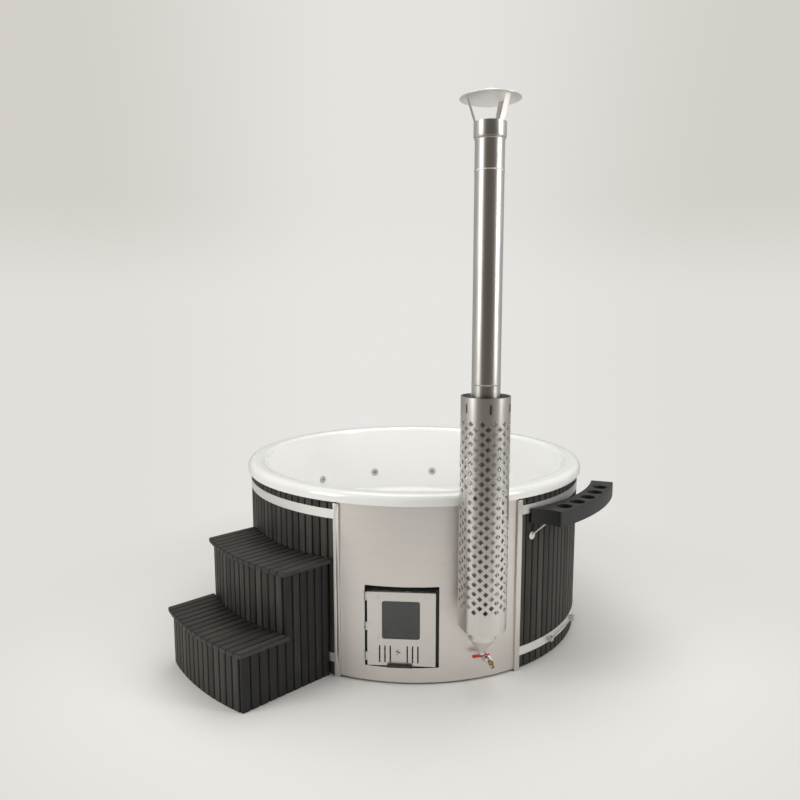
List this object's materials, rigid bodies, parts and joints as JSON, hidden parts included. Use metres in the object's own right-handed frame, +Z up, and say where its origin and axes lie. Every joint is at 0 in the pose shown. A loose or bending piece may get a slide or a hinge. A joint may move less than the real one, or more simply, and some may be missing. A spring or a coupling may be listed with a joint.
{
  "type": "wood-fired hot tub",
  "caption": "Round acrylic hot tub in dark slatted cladding with a built-in wood stove, tall chimney in a pierced guard, steps and a cup shelf.",
  "frame": {"origin": "on the floor, under the middle of the tub", "axes": "+Z up, -Y towards the steel front panel (the middle of it), +X to the right when facing the panel"},
  "size_m": [2.5264, 2.2454, 2.867],
  "materials": {
    "white_acrylic": "polished, glossy",
    "structural_timber": "planed, untreated",
    "dark_cladding": "stained dark, fine vertical grain",
    "dark_treads": "stained dark, ribbed grain",
    "satin_stainless": "satin",
    "brushed_stainless": "brushed, broad soft reflections",
    "door_stainless": "brushed",
    "guard_stainless": "satin, pierced",
    "polished_stainless": "polished, sharp vertical highlights",
    "stove_steel": "heat-darkened steel",
    "black_steel": "dark satin",
    "cast_iron": "rough",
    "stove_glass": "dark smoked",
    "woven_seal": "woven rope",
    "valve_chrome": "polished",
    "valve_brass": "polished",
    "red_coating": "dipped coating, satin",
    "white_plastic": "smooth",
    "nozzle_plastic": "smooth, light grey",
    "grey_plastic": "smooth",
    "black_plastic": "fine grain",
    "shelf_plastic": "satin, fine grain"
  },
  "bodies": {
    "tub": {"acrylic_shell": "white_acrylic", "air_blower": "black_plastic", "air_nozzles": "nozzle_plastic", "air_ring_pipe": "grey_plastic", "ash_pan": "stove_steel", "band_lugs": "satin_stainless", "band_ties": "satin_stainless", "base_board": "structural_timber", "base_joists": "structural_timber", "bottom_band": "satin_stainless", "cap_collar": "satin_stainless", "cap_straps": "satin_stainless", "chimney_lower": "polished_stainless", "chimney_middle": "polished_stainless", "chimney_upper": "polished_stainless", "cladding_frame": "structural_timber", "cladding_slats": "dark_cladding", "cup_holder": "shelf_plastic", "cup_holder_struts": "satin_stainless", "drain_fitting": "white_plastic", "drain_grille": "satin_stainless", "drain_pipe": "grey_plastic", "firebox": "stove_steel", "flue_spigot": "polished_stainless", "flue_tee": "polished_stainless", "frame_knuckles": "door_stainless", "front_panel": "brushed_stainless", "grate": "cast_iron", "guard_spacers": "guard_stainless", "heat_guard": "guard_stainless", "hinge_pins": "satin_stainless", "left_trim": "satin_stainless", "rain_cap": "satin_stainless", "right_trim": "satin_stainless", "rim_support_ring": "structural_timber", "soot_cone": "satin_stainless", "step_frame": "structural_timber", "step_risers": "dark_cladding", "step_sides": "dark_cladding", "step_treads": "dark_treads", "stove_rails": "structural_timber", "support_posts": "structural_timber", "top_band": "satin_stainless", "trim_screws": "satin_stainless", "valve_body": "valve_chrome", "valve_outlet": "valve_brass", "water_jacket": "stove_steel", "water_pipes": "stove_steel"},
    "stove_door": {"door_plate": "door_stainless", "door_glass": "stove_glass", "glass_clamp": "stove_steel", "door_screws": "satin_stainless", "door_back_plate": "stove_steel", "door_seal": "woven_seal", "door_pull": "black_steel", "door_knuckles": "door_stainless"},
    "air_slider": {"air_slider": "stove_steel", "slider_knob": "satin_stainless"},
    "valve_lever": {"valve_ball": "valve_chrome", "valve_lever": "red_coating"}
  },
  "joints": [
    {"name": "door_hinge", "type": "hinge", "parent": "tub", "child": "stove_door", "pos_m": [-0.32134, -0.95392, 0.305], "axis": [0, 0, -1], "range_deg": [0, 110]},
    {"name": "air_slide", "type": "slide", "parent": "stove_door", "child": "air_slider", "axis": [0.9898, -0.1426, 0], "range_m": [0, 0.013]},
    {"name": "valve_turn", "type": "hinge", "parent": "tub", "child": "valve_lever", "pos_m": [0.29105, -0.99532, 0.125], "axis": [0, 0, 1], "range_deg": [0, 90]}
  ]
}
